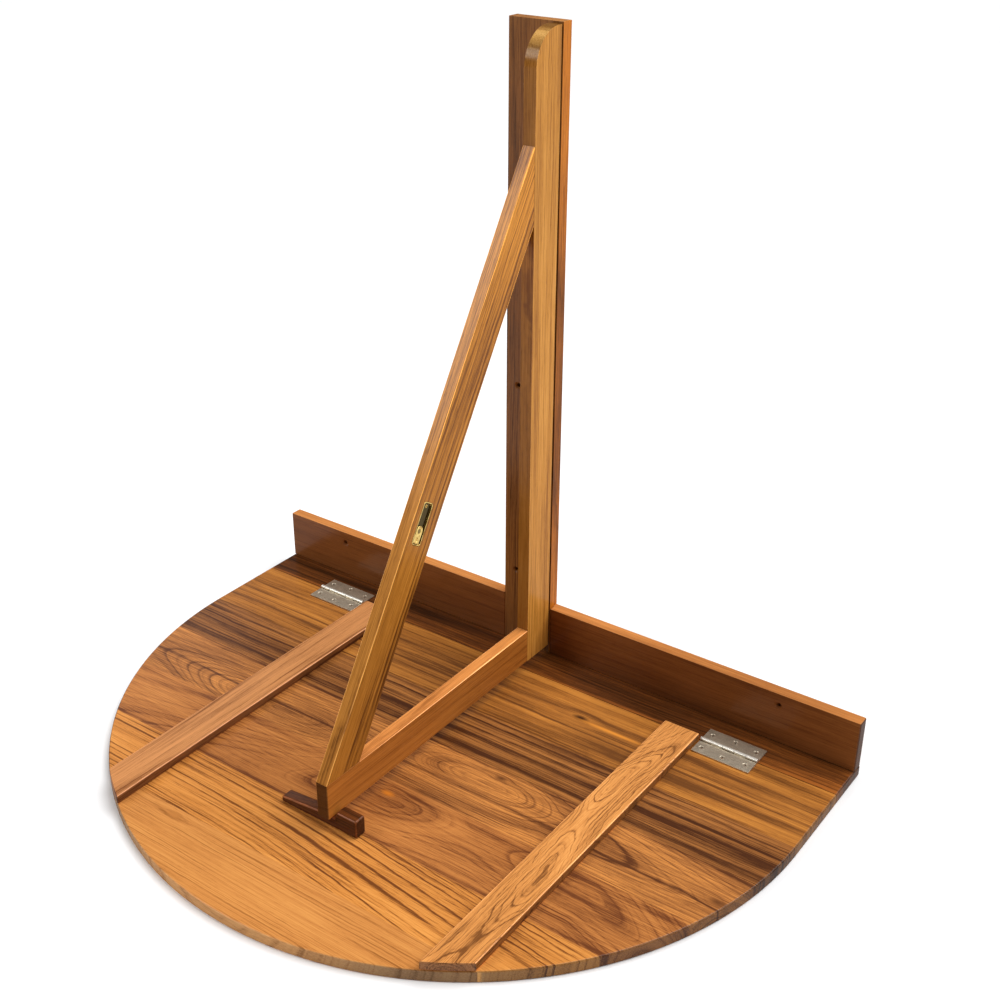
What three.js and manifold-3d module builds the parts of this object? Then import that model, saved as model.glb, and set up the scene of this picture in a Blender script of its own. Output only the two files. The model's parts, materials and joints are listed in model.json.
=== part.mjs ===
// A bulkhead-mounted, fold-down D-shaped table in varnished teak, standing on its work face.
//
// The wall frame is a strip along the wall, a cleat that stands on the strip and a post that is
// half-lapped into the cleat. The D-shaped leaf is hinged to the strip, and a triangular bracket is
// hinged to the post and swings under the leaf, where its nose sits on a stop block.
//
// Millimetres, +Z up. Every piece is drawn with the wall plane at y = 0, the middle of the wall at
// x = 0 and the work face at z = 0; the last group moves the wall plane back, so that the origin is
// the middle of the base.

import * as THREE from 'three';
import { mergeVertices } from 'three/addons/utils/BufferGeometryUtils.js';
import Module from 'manifold-3d';

const manifold = await Module();
manifold.setup();

// ---------------------------------------------------------------- driving dimensions

const tableWidth = 890;
const cornerRadius = tableWidth / 2;
const straightSide = 170;
const tableDepth = straightSide + cornerRadius;

const fit = 0.3;
const topThickness = 15;
const topArris = 2;
const stripDepth = 66;
const seamGap = 1;
const seamY = -stripDepth - seamGap / 2;
const plankWidths = [110, 78, 90, 93, 87, 90];

const wallBoardThickness = 16;
const cleatTop = 84;
const postLeft = -59;
const postRight = 13;
const postTop = 822;
const boardArris = 1;

const leftBattenX = -236;
const rightBattenX = 243.5;
const battenWidth = 47;
const battenHeight = 11;
const battenSetback = 1.5;
const battenArris = 1.5;

const bracketRight = postRight;
const bracketThickness = 16;
const bracketLeft = bracketRight - bracketThickness;
const hingeSpace = 3.5;
const stileDepth = 48;
const stileBack = -wallBoardThickness - hingeSpace;
const stileFront = stileBack - stileDepth;
const stileTop = 820;
const stileCornerRadius = 42;
const railBottom = 30;
const railHeight = 46.5;
const railTop = railBottom + railHeight;
const noseY = -454.5;
const diagonalTop = 698;
const diagonalWidth = 47.5;
const diagonalRise = diagonalTop - railTop;
const diagonalRun = stileFront - noseY;
const diagonalAngle = Math.atan2(diagonalRise, diagonalRun);

const stopBlockDepth = 16;
const stopBlockFront = -448;
const stopBlockLeft = -65;
const stopBlockRight = 47;
const stopBlockTop = 39;
const stopBlockTip = 23;
const stopBlockRound = 3;
const seatTop = railBottom - 0.4;
const seatLeft = bracketLeft - 1;
const seatRight = bracketRight + 2.5;

const wallHoleRadius = 2.5;
const wallHoleHeadRadius = 4.5;
const cleatHoleX = 342;
const cleatHoleZ = 67;
const postHoleX = -42;
const postHoleHeights = [125, 387, 649];

const dowelRadius = 4;
const dowelReach = 22;
const footReach = 20;
const cleatDowelXs = [-400, -150, 150, 400];
const cleatDowelZ = [4, 40];
const railDowelInset = 12;
const headDowelDrops = [80, 48];
const footDowelInsets = [22, 45];

const screwHeadLip = 0.2;

// ---------------------------------------------------------------- materials

function finish(color, roughness, metalness) {
  return new THREE.MeshStandardMaterial({ color, roughness, metalness });
}

const finishes = {
  wallTeak: finish('#7c4722', 0.4, 0),
  leafTeak: finish('#a9662b', 0.35, 0),
  paleTeak: finish('#c98a40', 0.35, 0),
  bracketTeak: finish('#b8752f', 0.38, 0),
  darkTeak: finish('#552a19', 0.35, 0),
  dowelWood: finish('#c7a06c', 0.7, 0),
  steel: finish('#b7b3a7', 0.35, 1),
  brass: finish('#c8a14a', 0.25, 1),
};

// ---------------------------------------------------------------- solids

const mergeTolerance = 1e-4;

function toSolid(geometry) {
  const bare = geometry.clone();
  bare.deleteAttribute('normal');
  bare.deleteAttribute('uv');
  const merged = mergeVertices(bare, mergeTolerance);
  const vertProperties = new Float32Array(merged.attributes.position.array);
  const triVerts = new Uint32Array(merged.index.array);
  return new manifold.Manifold(new manifold.Mesh({ numProp: 3, vertProperties, triVerts }));
}

function toGeometry(solid) {
  const mesh = solid.getMesh();
  const geometry = new THREE.BufferGeometry();
  geometry.setAttribute('position', new THREE.BufferAttribute(mesh.vertProperties, 3));
  geometry.setIndex(new THREE.BufferAttribute(mesh.triVerts, 1));
  geometry.computeVertexNormals();
  return geometry;
}

// The first geometry with all the others cut out of it.
function cut(geometry, cutters) {
  const solid = cutters.reduce((rest, cutter) => rest.subtract(toSolid(cutter)), toSolid(geometry));
  return toGeometry(solid);
}

function join(geometries) {
  const solid = geometries.map(toSolid).reduce((whole, next) => whole.add(next));
  return toGeometry(solid);
}

function common(first, second) {
  return toGeometry(toSolid(first).intersect(toSolid(second)));
}

// A plain block; x, y and z are each [low, high].
function block(x, y, z) {
  const geometry = new THREE.BoxGeometry(x[1] - x[0], y[1] - y[0], z[1] - z[0]);
  return geometry.translate((x[0] + x[1]) / 2, (y[0] + y[1]) / 2, (z[0] + z[1]) / 2);
}

// A block whose twelve edges all carry a small chamfer.
function softenedBlock(x, y, z, arris) {
  const shape = new THREE.Shape([
    new THREE.Vector2(x[0] + arris, y[0]),
    new THREE.Vector2(x[1] - arris, y[0]),
    new THREE.Vector2(x[1], y[0] + arris),
    new THREE.Vector2(x[1], y[1] - arris),
    new THREE.Vector2(x[1] - arris, y[1]),
    new THREE.Vector2(x[0] + arris, y[1]),
    new THREE.Vector2(x[0], y[1] - arris),
    new THREE.Vector2(x[0], y[0] + arris),
  ]);
  return bevelledExtrusion(shape, z, arris, 1, 1);
}

// A shape in the XY plane raised from z[0] to z[1], with both rims bevelled inwards.
function bevelledExtrusion(shape, z, arris, bevelSegments, curveSegments) {
  const geometry = new THREE.ExtrudeGeometry(shape, {
    depth: z[1] - z[0] - 2 * arris,
    bevelEnabled: true,
    bevelThickness: arris,
    bevelSize: arris,
    bevelOffset: -arris,
    bevelSegments,
    curveSegments,
  });
  return geometry.translate(0, 0, z[0] + arris);
}

// A shape drawn as (y, z) points and extruded along X from x[0] to x[1].
function sideExtrusion(shape, x, curveSegments = 1) {
  const depth = x[1] - x[0];
  const geometry = new THREE.ExtrudeGeometry(shape, { depth, bevelEnabled: false, curveSegments });
  const axes = new THREE.Matrix4().makeBasis(
    new THREE.Vector3(0, 1, 0),
    new THREE.Vector3(0, 0, 1),
    new THREE.Vector3(1, 0, 0),
  );
  return geometry.applyMatrix4(axes).translate(x[0], 0, 0);
}

// A round rod from one point to another.
function rod(from, to, radius, sides = 12) {
  const start = new THREE.Vector3(...from);
  const along = new THREE.Vector3(...to).sub(start);
  const geometry = new THREE.CylinderGeometry(radius, radius, along.length(), sides);
  geometry.translate(0, along.length() / 2, 0);
  const turn = new THREE.Quaternion().setFromUnitVectors(new THREE.Vector3(0, 1, 0), along.normalize());
  return geometry.applyQuaternion(turn).translate(start.x, start.y, start.z);
}

// A turned profile of [radius, height] pairs, stood on a surface with its height along outward.
function turned(profile, point, outward, sides = 12) {
  const points = profile.map(([radius, height]) => new THREE.Vector2(radius, height));
  const geometry = new THREE.LatheGeometry(points, sides);
  const up = new THREE.Vector3(...outward);
  const turn = new THREE.Quaternion().setFromUnitVectors(new THREE.Vector3(0, 1, 0), up);
  return geometry.applyQuaternion(turn).translate(...point);
}

// ---------------------------------------------------------------- fasteners

// A countersunk wood screw whose flat head lies at point.
function screw({ point, outward, size }) {
  const profile = [
    [0, -size.length],
    [size.shank * 0.5, -size.length + size.shank],
    [size.shank, -size.length + 2 * size.shank],
    [size.shank, -size.headDepth],
    [size.head, -screwHeadLip],
    [size.head, 0],
    [0, 0],
  ];
  return turned(profile, point, outward);
}

// The countersunk hole that the screw sits in, open above the surface.
function screwHole({ point, outward, size }) {
  const reach = 1;
  const profile = [
    [0, -size.length - fit],
    [size.shank + fit, -size.length - fit],
    [size.shank + fit, -size.headDepth - fit],
    [size.head + fit, -screwHeadLip],
    [size.head + fit, reach],
    [0, reach],
  ];
  return turned(profile, point, outward);
}

// A mounting hole right through a wall board, countersunk on the front.
function wallHole(x, z) {
  const front = -wallBoardThickness;
  const sink = wallHoleHeadRadius - wallHoleRadius;
  const profile = [
    [0, -wallBoardThickness - 1],
    [wallHoleRadius, -wallBoardThickness - 1],
    [wallHoleRadius, -sink],
    [wallHoleHeadRadius, 0],
    [wallHoleHeadRadius, 1],
    [0, 1],
  ];
  return turned(profile, [x, front, z], [0, -1, 0]);
}

function dowelHole({ from, to }) {
  const along = new THREE.Vector3(...to).sub(new THREE.Vector3(...from)).normalize();
  const start = new THREE.Vector3(...from).addScaledVector(along, -fit);
  const end = new THREE.Vector3(...to).addScaledVector(along, fit);
  return rod(start.toArray(), end.toArray(), dowelRadius + fit);
}

// ---------------------------------------------------------------- the object

const group = new THREE.Group();

function add(name, geometry, material) {
  const mesh = new THREE.Mesh(geometry, material);
  mesh.name = name;
  group.add(mesh);
}

// The whole top seen from above: straight sides, then a half circle away from the wall.
function topOutline(backY) {
  const shape = new THREE.Shape();
  shape.moveTo(-cornerRadius, backY);
  shape.lineTo(-cornerRadius, -straightSide);
  shape.absarc(0, -straightSide, cornerRadius, Math.PI, 2 * Math.PI, false);
  shape.lineTo(cornerRadius, backY);
  shape.closePath();
  return shape;
}

const arcSegments = 24;
const backOverrun = 10;
const topBlank = bevelledExtrusion(topOutline(backOverrun), [0, topThickness], topArris, 2, arcSegments);

// The part of the top between two distances from the wall.
function slabOfTop(frontY, backY) {
  const side = cornerRadius + 1;
  return common(topBlank, block([-side, side], [frontY, backY], [-1, topThickness + 1]));
}

// ------------------------------- butt hinges between the strip and the leaf

const buttHinge = {
  innerX: 268.5,
  length: 76,
  halfWidth: 25.5,
  leafThickness: 1.5,
  barrelRadius: 2.6,
  pinRadius: 1.3,
  knuckles: 5,
  knuckleGap: 0.4,
  screwPitch: 29,
  screwOffset: 14.5,
  middleScrewOffset: 17.5,
};
const buttHingeCentreX = buttHinge.innerX + buttHinge.length / 2;
const buttHingeBase = topThickness + fit;
const buttHingeAxisZ = buttHingeBase + buttHinge.barrelRadius;
const buttScrew = { length: 12, shank: 1.6, head: 3.2, headDepth: 1.8 };

// One leaf of a butt hinge: side is +1 for the wall side and -1 for the table leaf.
function buttHingeLeaf(centreX, side) {
  const { length, halfWidth, leafThickness, barrelRadius, knuckles, knuckleGap } = buttHinge;
  const start = centreX - length / 2;
  const pitch = length / knuckles;
  const inner = seamY + side * (barrelRadius + fit);
  const outer = seamY + side * halfWidth;
  const z = [buttHingeBase, buttHingeBase + leafThickness];
  const solids = [block([start, start + length], [Math.min(inner, outer), Math.max(inner, outer)], z)];
  for (let index = side > 0 ? 0 : 1; index < knuckles; index += 2) {
    const x = [start + index * pitch, start + (index + 1) * pitch];
    if (index > 0) x[0] += knuckleGap / 2;
    if (index < knuckles - 1) x[1] -= knuckleGap / 2;
    const web = [Math.min(seamY, inner + side), Math.max(seamY, inner + side)];
    solids.push(rod([x[0], seamY, buttHingeAxisZ], [x[1], seamY, buttHingeAxisZ], barrelRadius));
    solids.push(block(x, web, z));
  }
  const bore = rod(
    [start - 1, seamY, buttHingeAxisZ],
    [start + length + 1, seamY, buttHingeAxisZ],
    buttHinge.pinRadius + fit,
  );
  return cut(join(solids), [bore, ...buttHingeScrews(centreX, side).map(screwHole)]);
}

function buttHingeScrews(centreX, side) {
  const { screwPitch, screwOffset, middleScrewOffset, leafThickness } = buttHinge;
  const top = buttHingeBase + leafThickness;
  return [-1, 0, 1].map((step) => {
    const offset = step === 0 ? middleScrewOffset : screwOffset;
    const point = [centreX + step * screwPitch, seamY + side * offset, top];
    return { point, outward: [0, 0, 1], size: buttScrew };
  });
}

const hingeSides = [
  { label: 'left', centreX: -buttHingeCentreX },
  { label: 'right', centreX: buttHingeCentreX },
];

function addButtHinges() {
  for (const { label, centreX } of hingeSides) {
    const half = buttHinge.length / 2;
    add(`hinge_${label}_wall_leaf`, buttHingeLeaf(centreX, 1), finishes.steel);
    add(`hinge_${label}_table_leaf`, buttHingeLeaf(centreX, -1), finishes.steel);
    const pin = rod(
      [centreX - half, seamY, buttHingeAxisZ],
      [centreX + half, seamY, buttHingeAxisZ],
      buttHinge.pinRadius,
    );
    add(`hinge_${label}_pin`, pin, finishes.steel);
    for (const [sideName, side] of [['wall', 1], ['table', -1]]) {
      buttHingeScrews(centreX, side).forEach((place, index) => {
        add(`hinge_${label}_${sideName}_screw_${index + 1}`, screw(place), finishes.steel);
      });
    }
  }
}

function buttScrewHoles(side) {
  return hingeSides.flatMap(({ centreX }) => buttHingeScrews(centreX, side).map(screwHole));
}

// ------------------------------- piano hinge between the post and the bracket

const pianoHinge = {
  bottom: 40,
  top: 800,
  leafWidth: 13,
  leafThickness: 1,
  barrelRadius: 2.2,
  pinRadius: 1,
  knuckles: 19,
  knuckleGap: 0.4,
  barrelSides: 10,
  screwInset: 6.5,
};
const pivotX = bracketLeft - pianoHinge.barrelRadius - fit;
const pivotY = -wallBoardThickness - pianoHinge.barrelRadius - fit;
const pianoScrewX = bracketLeft + pianoHinge.screwInset;
const pianoScrewHeights = [90, 420, 750];
const pianoScrew = { length: 11, shank: 1.2, head: 2.2, headDepth: 1 };

// side is +1 for the leaf on the post and -1 for the leaf on the bracket's stile.
function pianoHingeLeaf(side) {
  const { bottom, top, leafWidth, leafThickness, barrelRadius, pinRadius } = pianoHinge;
  const { knuckles, knuckleGap, barrelSides } = pianoHinge;
  const pitch = (top - bottom) / knuckles;
  const face = side > 0 ? -wallBoardThickness - fit : stileBack + fit;
  const y = [Math.min(face, face - side * leafThickness), Math.max(face, face - side * leafThickness)];
  const plateLeft = pivotX + barrelRadius + fit;
  const solids = [block([plateLeft, plateLeft + leafWidth], y, [bottom, top])];
  for (let index = side > 0 ? 0 : 1; index < knuckles; index += 2) {
    const z = [bottom + index * pitch, bottom + (index + 1) * pitch];
    if (index > 0) z[0] += knuckleGap / 2;
    if (index < knuckles - 1) z[1] -= knuckleGap / 2;
    solids.push(rod([pivotX, pivotY, z[0]], [pivotX, pivotY, z[1]], barrelRadius, barrelSides));
    solids.push(block([pivotX, plateLeft + 1], y, z));
  }
  const bore = rod([pivotX, pivotY, bottom - 1], [pivotX, pivotY, top + 1], pinRadius + fit, barrelSides);
  return cut(join(solids), [bore, ...pianoScrews(side).map(screwHole)]);
}

function pianoScrews(side) {
  const face = side > 0 ? -wallBoardThickness - fit : stileBack + fit;
  const headY = face - side * pianoHinge.leafThickness;
  return pianoScrewHeights.map((z) => {
    return { point: [pianoScrewX, headY, z], outward: [0, -side, 0], size: pianoScrew };
  });
}

function addPianoHinge() {
  add('piano_hinge_post_leaf', pianoHingeLeaf(1), finishes.steel);
  add('piano_hinge_stile_leaf', pianoHingeLeaf(-1), finishes.steel);
  const { bottom, top, pinRadius, barrelSides } = pianoHinge;
  const pin = rod([pivotX, pivotY, bottom], [pivotX, pivotY, top], pinRadius, barrelSides);
  add('piano_hinge_pin', pin, finishes.steel);
  for (const [sideName, side] of [['post', 1], ['stile', -1]]) {
    pianoScrews(side).forEach((place, index) => {
      add(`piano_hinge_${sideName}_screw_${index + 1}`, screw(place), finishes.steel);
    });
  }
}

// ------------------------------- wall frame

const cleatDowels = cleatDowelXs.map((x) => ({
  from: [x, -wallBoardThickness / 2, cleatDowelZ[0]],
  to: [x, -wallBoardThickness / 2, cleatDowelZ[1]],
}));

function fixedStrip() {
  const holes = [...buttScrewHoles(1), ...cleatDowels.map(dowelHole)];
  return cut(slabOfTop(-stripDepth, 0), holes);
}

function wallCleat() {
  const z = [topThickness + fit, cleatTop];
  const board = softenedBlock([-tableWidth / 2, tableWidth / 2], [-wallBoardThickness, 0], z, boardArris);
  const lapFace = -(wallBoardThickness - fit) / 2;
  const lap = block([postLeft - fit, postRight + fit], [-wallBoardThickness - 1, lapFace], [0, cleatTop + 1]);
  const holes = [wallHole(-cleatHoleX, cleatHoleZ), wallHole(cleatHoleX, cleatHoleZ)];
  return cut(board, [lap, ...holes, ...cleatDowels.map(dowelHole)]);
}

function postBoard() {
  const z = [topThickness + fit, postTop];
  const board = softenedBlock([postLeft, postRight], [-wallBoardThickness, 0], z, boardArris);
  const lapFace = -(wallBoardThickness + fit) / 2;
  const lap = block([postLeft - 1, postRight + 1], [lapFace, 1], [0, cleatTop + fit]);
  const holes = postHoleHeights.map((height) => wallHole(postHoleX, height));
  return cut(board, [lap, ...holes, ...pianoScrews(1).map(screwHole)]);
}

function addWallFrame() {
  add('fixed_strip', fixedStrip(), finishes.wallTeak);
  add('wall_cleat', wallCleat(), finishes.wallTeak);
  add('post_board', postBoard(), finishes.wallTeak);
  cleatDowels.forEach(({ from, to }, index) => {
    add(`cleat_dowel_${index + 1}`, rod(from, to, dowelRadius), finishes.dowelWood);
  });
}

// ------------------------------- leaf

function addPlanks() {
  let backY = -stripDepth - seamGap;
  plankWidths.forEach((width, index) => {
    const isFirst = index === 0;
    const isLast = index === plankWidths.length - 1;
    const frontY = backY - width;
    const plank = slabOfTop(frontY + (isLast ? -1 : fit / 2), backY - (isFirst ? 0 : fit / 2));
    const geometry = isFirst ? cut(plank, buttScrewHoles(-1)) : plank;
    add(`leaf_plank_${index + 1}`, geometry, finishes.leafTeak);
    backY = frontY;
  });
}

// A batten runs from the seam to the curved edge, where its end is cut to the curve.
function batten(centreX) {
  const x = [centreX - battenWidth / 2, centreX + battenWidth / 2];
  const y = [-tableDepth - battenWidth, -stripDepth - seamGap - battenSetback];
  const z = [topThickness + fit, topThickness + battenHeight];
  const bar = softenedBlock(x, y, z, battenArris);
  const curve = new THREE.ExtrudeGeometry(topOutline(backOverrun), {
    depth: z[1] + 1,
    bevelEnabled: false,
    curveSegments: arcSegments,
  });
  return common(bar, curve);
}

// The nose of the bracket rides up the ramp from the left, drops on the seat and meets the stop.
function stopBlock() {
  const base = topThickness + fit;
  const round = stopBlockRound;
  const shape = new THREE.Shape();
  shape.moveTo(stopBlockLeft, base);
  shape.lineTo(stopBlockRight, base);
  shape.lineTo(stopBlockRight, stopBlockTop - round);
  shape.lineTo(stopBlockRight - round, stopBlockTop);
  shape.lineTo(seatRight + round, stopBlockTop);
  shape.lineTo(seatRight + round / 2, stopBlockTop - round / 2);
  shape.lineTo(seatRight, seatTop);
  shape.lineTo(seatLeft, seatTop);
  shape.lineTo(stopBlockLeft + round, stopBlockTip + round / 2);
  shape.lineTo(stopBlockLeft + round / 2, stopBlockTip);
  shape.closePath();
  const geometry = new THREE.ExtrudeGeometry(shape, { depth: stopBlockDepth, bevelEnabled: false });
  return geometry.rotateX(Math.PI / 2).translate(0, stopBlockFront + stopBlockDepth, 0);
}

function addLeaf() {
  addPlanks();
  add('batten_left', batten(leftBattenX), finishes.bracketTeak);
  add('batten_right', batten(rightBattenX), finishes.paleTeak);
  add('stop_block', stopBlock(), finishes.darkTeak);
}

// ------------------------------- bracket

const bracketMiddle = bracketLeft + bracketThickness / 2;

function alongY(y, z, length) {
  return { from: [bracketMiddle, y - length, z], to: [bracketMiddle, y + length, z] };
}

const railDowelHeights = [railBottom + railDowelInset, railTop - railDowelInset];
const railDowels = railDowelHeights.map((z) => alongY(stileFront, z, dowelReach));
const headDowels = headDowelDrops.map((drop) => alongY(stileFront, diagonalTop - drop, footReach));
const footDowels = footDowelInsets.map((inset) => ({
  from: [bracketMiddle, noseY + inset, railTop - footReach],
  to: [bracketMiddle, noseY + inset, railTop + footReach],
}));

function bracketStile() {
  const shape = new THREE.Shape();
  shape.moveTo(stileFront, railBottom);
  shape.lineTo(stileBack, railBottom);
  shape.lineTo(stileBack, stileTop);
  shape.lineTo(stileFront + stileCornerRadius, stileTop);
  shape.absarc(
    stileFront + stileCornerRadius,
    stileTop - stileCornerRadius,
    stileCornerRadius,
    Math.PI / 2,
    Math.PI,
    false,
  );
  shape.closePath();
  const stile = sideExtrusion(shape, [bracketLeft, bracketRight], 8);
  const dowelHoles = [...railDowels, ...headDowels].map(dowelHole);
  return cut(stile, [...dowelHoles, ...pianoScrews(-1).map(screwHole)]);
}

function bracketRail() {
  const rail = block([bracketLeft, bracketRight], [noseY, stileFront - fit], [railBottom, railTop]);
  return cut(rail, [...railDowels, ...footDowels].map(dowelHole));
}

// The brace is butted against the stile at its head and stands on the rail at its foot.
function bracketDiagonal() {
  const headHeight = diagonalWidth / Math.cos(diagonalAngle);
  const footLength = diagonalWidth / Math.sin(diagonalAngle);
  const shape = new THREE.Shape();
  shape.moveTo(noseY, railTop + fit);
  shape.lineTo(noseY + footLength, railTop + fit);
  shape.lineTo(stileFront - fit, diagonalTop - headHeight);
  shape.lineTo(stileFront - fit, diagonalTop);
  shape.closePath();
  const brace = sideExtrusion(shape, [bracketLeft, bracketRight]);
  const holes = [...headDowels, ...footDowels].map(dowelHole);
  return cut(brace, [...holes, catchRecess(), ...catchScrews.map(screwHole)]);
}

// ------------------------------- brass catch let into the brace

const catchLength = 50;
const catchWidth = 17.5;
const catchDepth = 3;
const catchRim = 1.6;
const catchFloor = 0.9;
const catchCornerRadius = 4;
const catchRise = 324.7;
const catchY = -277.5;
const catchScrew = { length: 9, shank: 1.2, head: 2, headDepth: 1 };
const catchScrewInset = 5;
const tongueLength = 20.5;
const tongueWidth = 12;
const tongueThickness = 1.1;
const tongueScrewInset = 6;

function roundedRectangle(length, width, radius) {
  const right = length / 2;
  const top = width / 2;
  const shape = new THREE.Shape();
  shape.moveTo(-right + radius, -top);
  shape.absarc(right - radius, -top + radius, radius, -Math.PI / 2, 0, false);
  shape.absarc(right - radius, top - radius, radius, 0, Math.PI / 2, false);
  shape.absarc(-right + radius, top - radius, radius, Math.PI / 2, Math.PI, false);
  shape.absarc(-right + radius, -top + radius, radius, Math.PI, 1.5 * Math.PI, false);
  return shape;
}

// Raises a shape off the brace's face: its length runs up the brace, and height 0 is the face.
function onBrace(shape, low, high) {
  const geometry = new THREE.ExtrudeGeometry(shape, { depth: high - low, bevelEnabled: false, curveSegments: 4 });
  geometry.translate(0, 0, low);
  return geometry.applyMatrix4(bracePlacement);
}

const bracePlacement = new THREE.Matrix4().makeBasis(
  new THREE.Vector3(0, Math.cos(diagonalAngle), Math.sin(diagonalAngle)),
  new THREE.Vector3(0, -Math.sin(diagonalAngle), Math.cos(diagonalAngle)),
  new THREE.Vector3(1, 0, 0),
).setPosition(bracketRight, catchY, catchRise);

function bracePoint(along, across, height) {
  return new THREE.Vector3(along, across, height).applyMatrix4(bracePlacement).toArray();
}

// A brass screw in the pan: how far up the brace from its middle, and how high off the pan's floor.
function catchFixing(along, height) {
  const point = bracePoint(along, 0, catchFloor - catchDepth + height);
  return { point, outward: [1, 0, 0], size: catchScrew };
}

const catchScrews = [
  catchFixing(catchLength / 2 - catchScrewInset, 0),
  catchFixing(tongueScrewInset - catchLength / 2, fit + tongueThickness),
];

function catchRecess() {
  const shape = roundedRectangle(catchLength + 2 * fit, catchWidth + 2 * fit, catchCornerRadius + fit);
  return onBrace(shape, -catchDepth - fit, 1);
}

function catchPan() {
  const plate = onBrace(roundedRectangle(catchLength, catchWidth, catchCornerRadius), -catchDepth, 0);
  const inside = roundedRectangle(
    catchLength - 2 * catchRim,
    catchWidth - 2 * catchRim,
    catchCornerRadius - catchRim,
  );
  const hollow = onBrace(inside, catchFloor - catchDepth, 1);
  return cut(plate, [hollow, ...catchScrews.map(screwHole)]);
}

// A flat spring tongue with a round free end, lying on the floor of the pan.
function catchTongue() {
  const low = catchRim + 2 * fit - catchLength / 2;
  const high = low + tongueLength;
  const half = tongueWidth / 2;
  const shape = new THREE.Shape();
  shape.moveTo(low, -half);
  shape.lineTo(high - half, -half);
  shape.absarc(high - half, 0, half, -Math.PI / 2, Math.PI / 2, false);
  shape.lineTo(low, half);
  shape.closePath();
  const floor = catchFloor - catchDepth + fit;
  return cut(onBrace(shape, floor, floor + tongueThickness), [screwHole(catchScrews[1])]);
}

function addCatch() {
  add('catch_pan', catchPan(), finishes.brass);
  add('catch_tongue', catchTongue(), finishes.brass);
  add('catch_screw_upper', screw(catchScrews[0]), finishes.brass);
  add('catch_screw_lower', screw(catchScrews[1]), finishes.brass);
}

function addBracket() {
  add('bracket_stile', bracketStile(), finishes.bracketTeak);
  add('bracket_rail', bracketRail(), finishes.bracketTeak);
  add('bracket_diagonal', bracketDiagonal(), finishes.bracketTeak);
  const joints = { rail: railDowels, head: headDowels, foot: footDowels };
  for (const [joint, dowels] of Object.entries(joints)) {
    dowels.forEach(({ from, to }, index) => {
      add(`${joint}_dowel_${index + 1}`, rod(from, to, dowelRadius), finishes.dowelWood);
    });
  }
}

addWallFrame();
addLeaf();
addBracket();
addButtHinges();
addPianoHinge();
addCatch();

group.position.y = tableDepth / 2;

export default group;
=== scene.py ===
"""Looks for the fold-down wall table: varnished teak boards, butt hinges, a long hinge and a brass catch.

Metres, in the part's own frame: the table stands on its work face, the wall is at +Y and the
bracket props the leaf. Every wooden and metal piece is built in its CAD node's place, with
rounded arrises, and takes a procedural material. The dowels are out of sight and keep their
CAD shape.
"""

import json
import math
from dataclasses import dataclass, field

import bmesh
import bpy
from mathutils import Matrix, Vector

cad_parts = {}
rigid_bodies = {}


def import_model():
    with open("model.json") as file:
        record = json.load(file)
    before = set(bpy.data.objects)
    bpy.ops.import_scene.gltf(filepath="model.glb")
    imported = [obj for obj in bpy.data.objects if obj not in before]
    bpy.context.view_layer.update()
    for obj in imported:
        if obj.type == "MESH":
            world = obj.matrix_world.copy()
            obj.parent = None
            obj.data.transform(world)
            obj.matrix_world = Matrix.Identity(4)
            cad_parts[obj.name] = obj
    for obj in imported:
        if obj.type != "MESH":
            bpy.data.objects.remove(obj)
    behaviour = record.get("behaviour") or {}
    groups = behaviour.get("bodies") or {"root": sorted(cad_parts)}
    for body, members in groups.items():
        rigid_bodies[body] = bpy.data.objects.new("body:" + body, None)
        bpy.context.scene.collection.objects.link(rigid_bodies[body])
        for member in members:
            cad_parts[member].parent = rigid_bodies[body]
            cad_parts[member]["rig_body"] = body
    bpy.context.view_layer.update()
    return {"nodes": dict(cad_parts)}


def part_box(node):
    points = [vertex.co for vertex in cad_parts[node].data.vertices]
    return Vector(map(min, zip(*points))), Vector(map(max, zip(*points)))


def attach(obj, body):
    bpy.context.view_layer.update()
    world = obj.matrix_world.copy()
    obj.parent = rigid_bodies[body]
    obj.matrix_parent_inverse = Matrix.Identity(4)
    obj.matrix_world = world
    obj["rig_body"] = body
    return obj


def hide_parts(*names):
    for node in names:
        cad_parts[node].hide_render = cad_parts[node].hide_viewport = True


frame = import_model()

X = Vector((1, 0, 0))
Y = Vector((0, 1, 0))
Z = Vector((0, 0, 1))
MM = 0.001

# ---------- places, from the frame

TOP_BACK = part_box("fixed_strip")[1].y
TOP_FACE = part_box("fixed_strip")[1].z
TOP_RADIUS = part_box("fixed_strip")[1].x
TOP_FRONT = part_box("leaf_plank_6")[0].y
ARC_CENTRE = TOP_FRONT + TOP_RADIUS
BOARD_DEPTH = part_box("wall_cleat")[1].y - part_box("wall_cleat")[0].y
WALL_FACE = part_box("wall_cleat")[0].y

# The gap between glued pieces in the frame, and how far a cutter reaches past what it cuts.
JOINT_GAP = 0.3 * MM
SPARE = 10 * MM

# ---------- mesh building


def link(name, data):
    obj = bpy.data.objects.new(name, data)
    bpy.context.scene.collection.objects.link(obj)
    return obj


def arc(radius, start, end, steps, centre=(0.0, 0.0)):
    """Points on a circle from one angle to another, both ends included."""
    turns = [start + (end - start) * i / steps for i in range(steps + 1)]
    return [(centre[0] + radius * math.cos(t), centre[1] + radius * math.sin(t)) for t in turns]


def circle(radius, sides):
    return arc(radius, 0.0, 2 * math.pi, sides)[:-1]


def solid(name, rings):
    """A closed solid through rings of points: neighbours are joined, and the two ends are capped."""
    count = len(rings[0])
    points = [point for ring in rings for point in ring]
    faces = []
    for low in range(len(rings) - 1):
        high = low + 1
        for i in range(count):
            j = (i + 1) % count
            faces.append((low * count + i, low * count + j, high * count + j, high * count + i))
    faces.append(tuple(reversed(range(count))))
    faces.append(tuple(range((len(rings) - 1) * count, len(rings) * count)))
    mesh = bpy.data.meshes.new(name)
    mesh.from_pydata(points, [], faces)
    mesh.validate()
    return link(name, mesh)


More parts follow.
